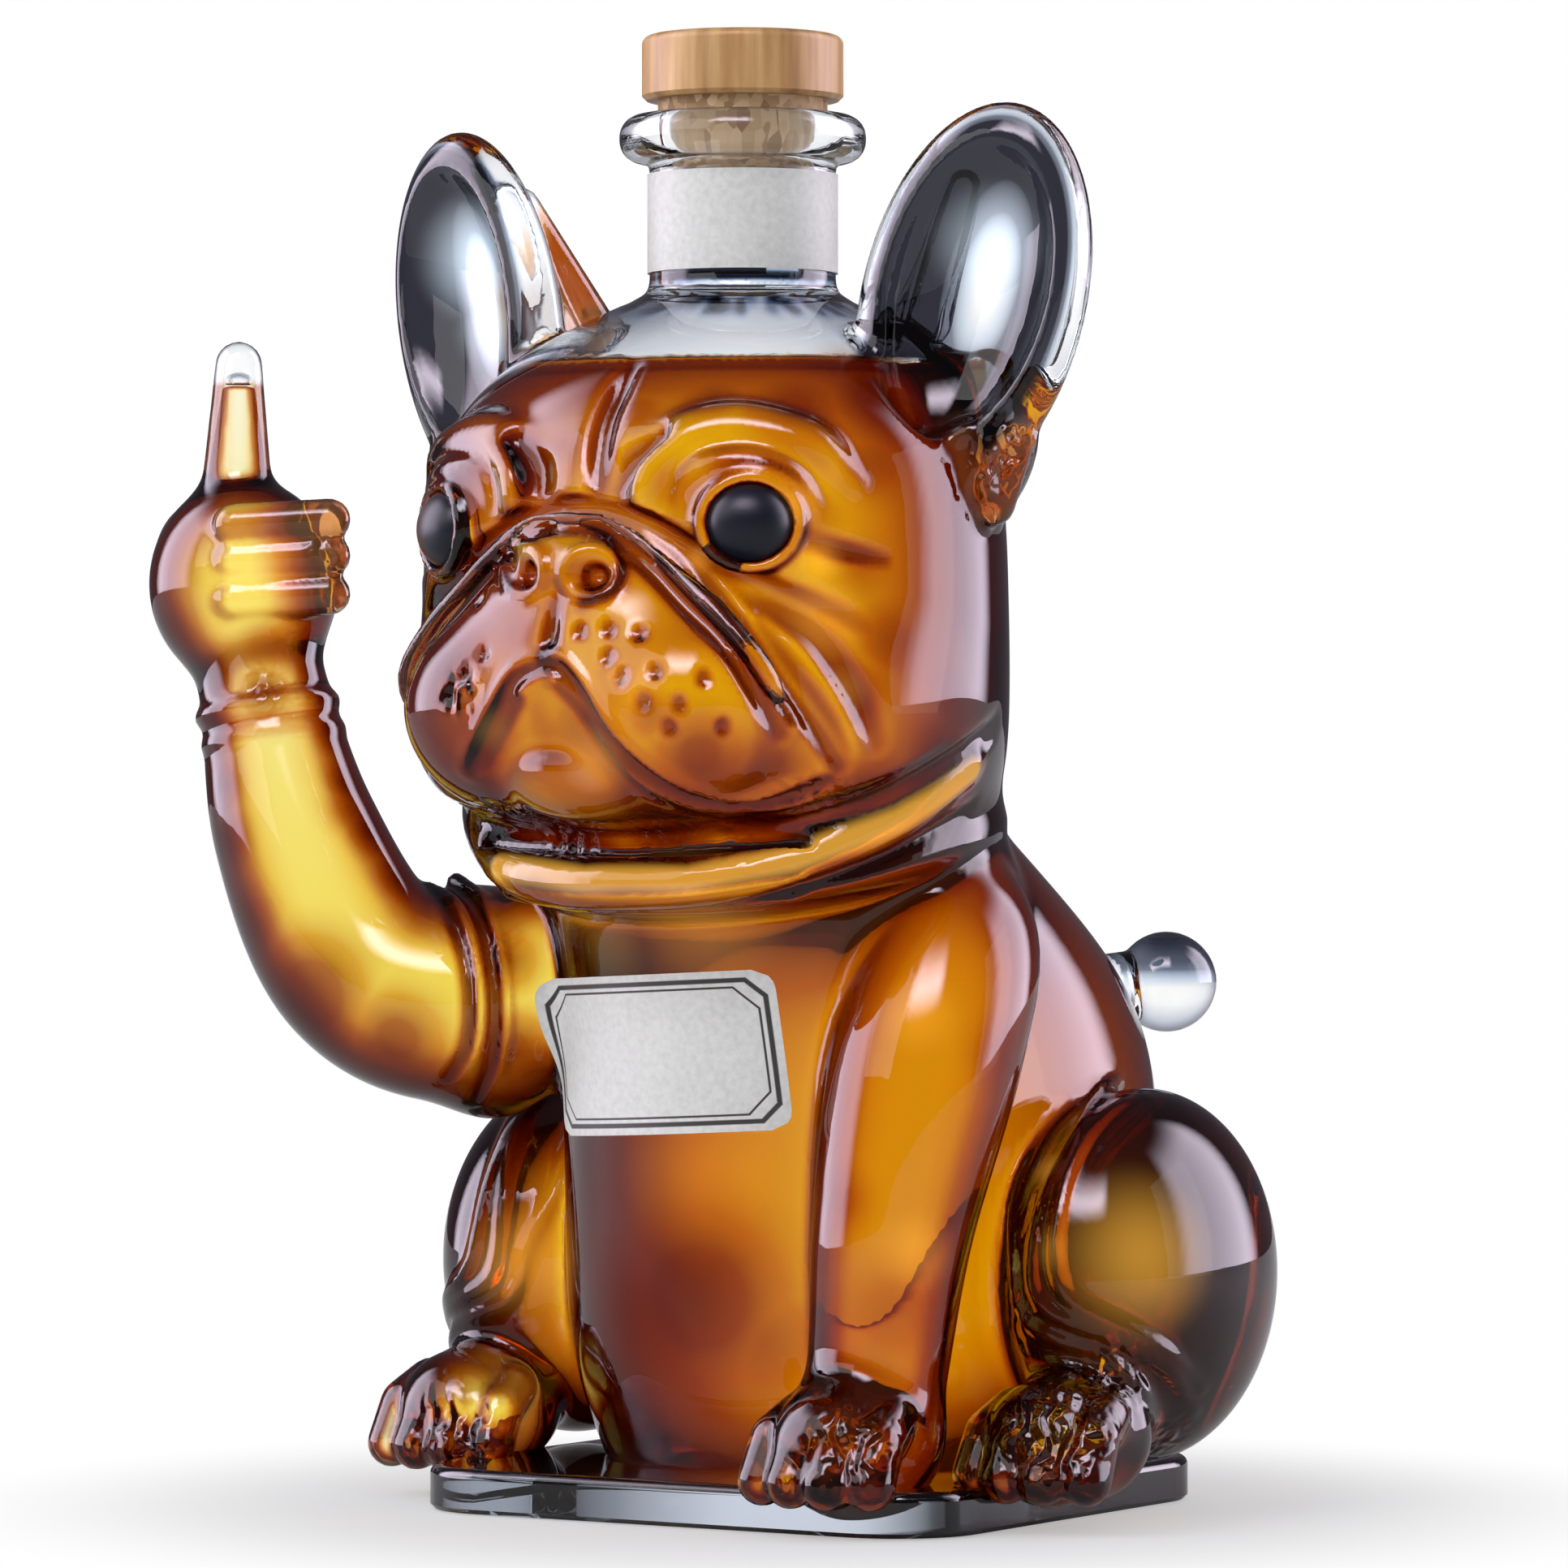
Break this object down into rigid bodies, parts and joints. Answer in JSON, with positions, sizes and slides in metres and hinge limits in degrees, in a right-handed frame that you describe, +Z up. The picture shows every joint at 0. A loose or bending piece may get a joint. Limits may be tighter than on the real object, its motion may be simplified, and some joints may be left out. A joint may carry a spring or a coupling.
{
  "type": "figural liquor decanter",
  "caption": "Lampworked glass decanter in the form of a sitting bulldog with one forepaw raised, filled with amber liquor and closed by a wooden T-stopper in the crown.",
  "frame": {"origin": "The centre of the base slab's underside.", "axes": "+Z up through the bottle neck, -Y the way the dog looks, +X its left side."},
  "size_m": [0.1747, 0.1622, 0.233],
  "materials": {
    "clear_glass": "clear lampworked borosilicate glass with soft weld marks",
    "black_glass": "opaque black glass, fire polished",
    "cork": "fine agglomerated cork",
    "wood": "light turned wood, oiled",
    "label_paper": "matt uncoated label paper",
    "liquor": "clear amber liquor"
  },
  "bodies": {
    "decanter": {"base_slab": "clear_glass", "torso": "clear_glass", "haunch_left": "clear_glass", "haunch_right": "clear_glass", "foreleg": "clear_glass", "fore_paw": "clear_glass", "hind_paw_left": "clear_glass", "hind_paw_right": "clear_glass", "raised_arm": "clear_glass", "raised_hand": "clear_glass", "collar_roll": "clear_glass", "head": "clear_glass", "ear_left": "clear_glass", "ear_right": "clear_glass", "eye_left": "black_glass", "eye_right": "black_glass", "tail": "clear_glass", "bottle_neck": "clear_glass", "chest_label": "label_paper", "neck_label": "label_paper", "liquor": "liquor"},
    "stopper": {"stopper_cork": "cork", "stopper_cap": "wood"}
  },
  "joints": [
    {"name": "stopper_lift", "type": "slide", "parent": "decanter", "child": "stopper", "axis": [0, 0, 1], "range_m": [0, 0.045]}
  ]
}
